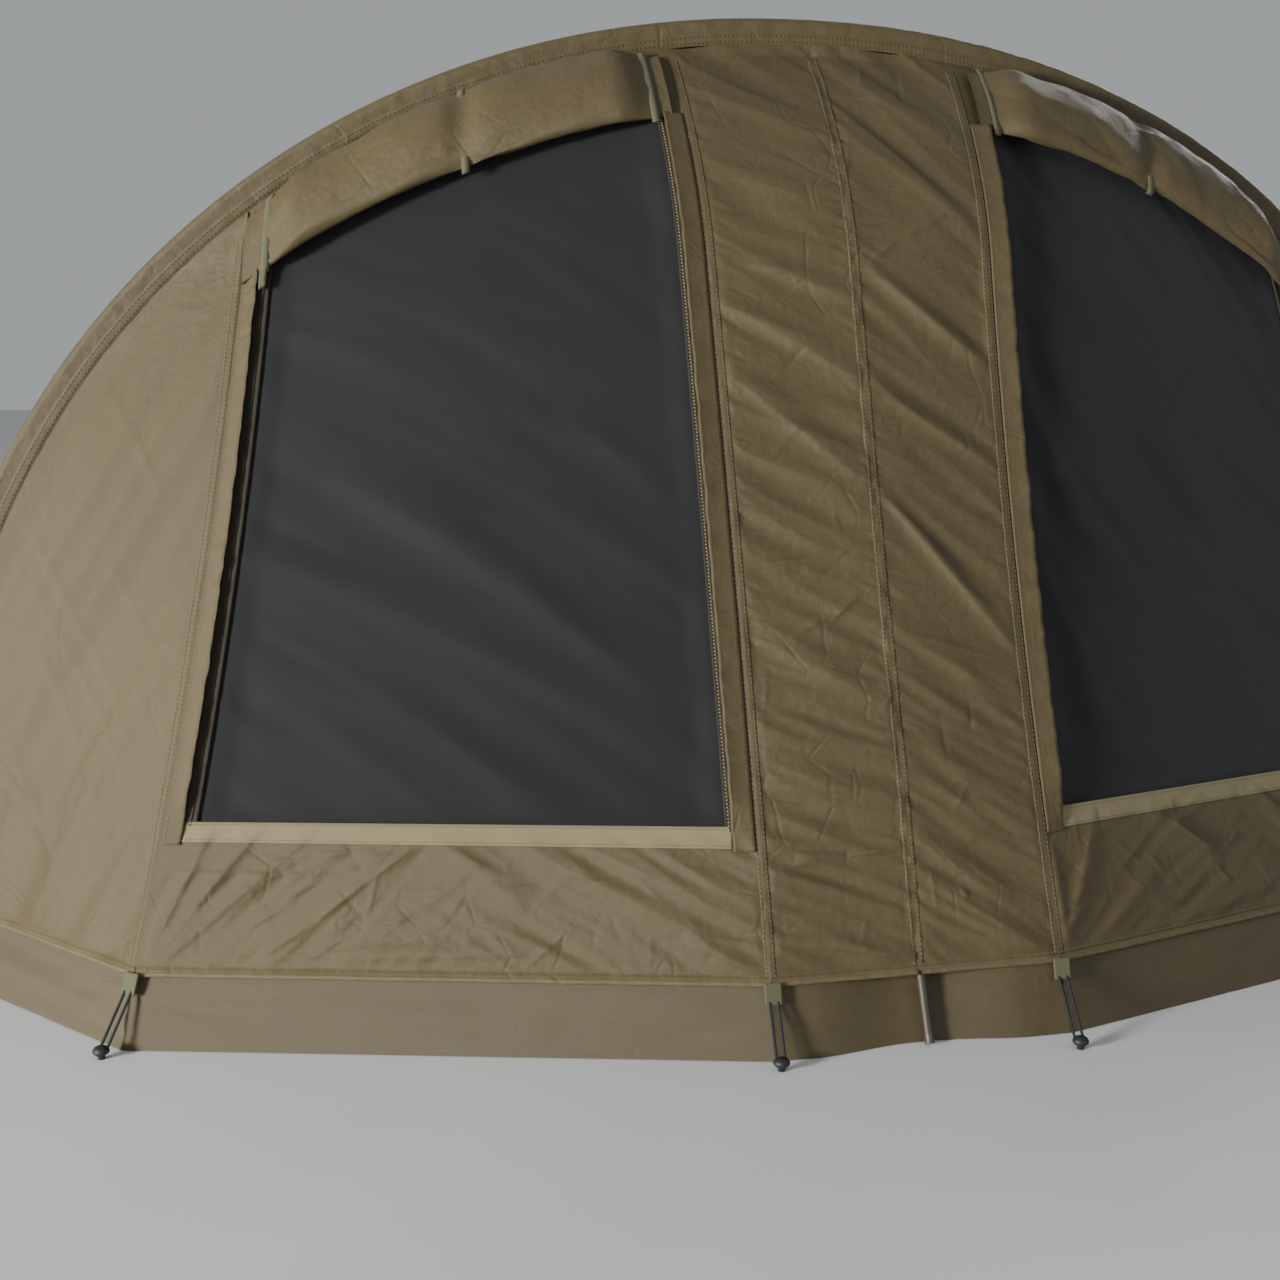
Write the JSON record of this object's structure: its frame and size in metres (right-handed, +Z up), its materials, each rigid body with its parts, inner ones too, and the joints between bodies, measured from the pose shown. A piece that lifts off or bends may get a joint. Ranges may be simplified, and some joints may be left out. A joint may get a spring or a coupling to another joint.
{
  "type": "fishing bivvy",
  "caption": "Wide fishing bivvy: arched ribs under a fabric shell, a faceted front with meshed windows and rolled screens, a ground skirt, and pegged elastic loops.",
  "frame": {"origin": "on the ground, under the middle of the bivvy's box", "axes": "+X to the right of someone who faces the front, +Y to the rear, +Z up; the front looks along -Y"},
  "size_m": [3.4602, 3.088, 1.8079],
  "materials": {
    "shell_fabric": "coated polyester, olive khaki, fine weave with a soft sheen",
    "rolled_fabric": "the same coated polyester, rolled up",
    "skirt_fabric": "heavier coated fabric, darker and smoother",
    "insect_mesh": "fine black knitted mesh",
    "hook_tape": "woven beige tape, stitched on both edges",
    "rib_tube": "satin coated aluminium tube",
    "pole_tube": "satin grey-brown coated aluminium tube",
    "peg_set": "black plastic peg head, black elastic and olive webbing"
  },
  "bodies": {
    "root": {"front_rib": "rib_tube", "middle_rib": "rib_tube", "rear_rib": "rib_tube", "left_spreader_bar": "rib_tube", "right_spreader_bar": "rib_tube", "centre_pole": "pole_tube", "left_window_panel": "shell_fabric", "right_window_panel": "shell_fabric", "centre_panel_left": "shell_fabric", "centre_panel_right": "shell_fabric", "left_outer_zip_flap": "shell_fabric", "right_outer_zip_flap": "shell_fabric", "left_inner_zip_flap": "shell_fabric", "right_inner_zip_flap": "shell_fabric", "rear_wall_centre": "shell_fabric", "left_gusset": "shell_fabric", "right_gusset": "shell_fabric", "front_rib_sleeve": "shell_fabric", "roof_front": "shell_fabric", "roof_rear": "shell_fabric", "rear_wall_left": "shell_fabric", "rear_wall_right": "shell_fabric", "left_rolled_screen": "rolled_fabric", "right_rolled_screen": "rolled_fabric", "left_window_mesh": "insect_mesh", "right_window_mesh": "insect_mesh", "left_window_tape": "hook_tape", "right_window_tape": "hook_tape", "skirt_front_left": "skirt_fabric", "skirt_front_centre": "skirt_fabric", "skirt_front_right": "skirt_fabric", "skirt_left": "skirt_fabric", "skirt_right": "skirt_fabric", "skirt_rear": "skirt_fabric", "peg_point_front_outer_left": "peg_set", "peg_point_front_outer_right": "peg_set", "peg_point_front_inner_left": "peg_set", "peg_point_front_inner_right": "peg_set", "peg_point_rear_outer_left": "peg_set", "peg_point_rear_outer_right": "peg_set", "peg_point_rear_inner_left": "peg_set", "peg_point_rear_inner_right": "peg_set"}
  },
  "joints": []
}
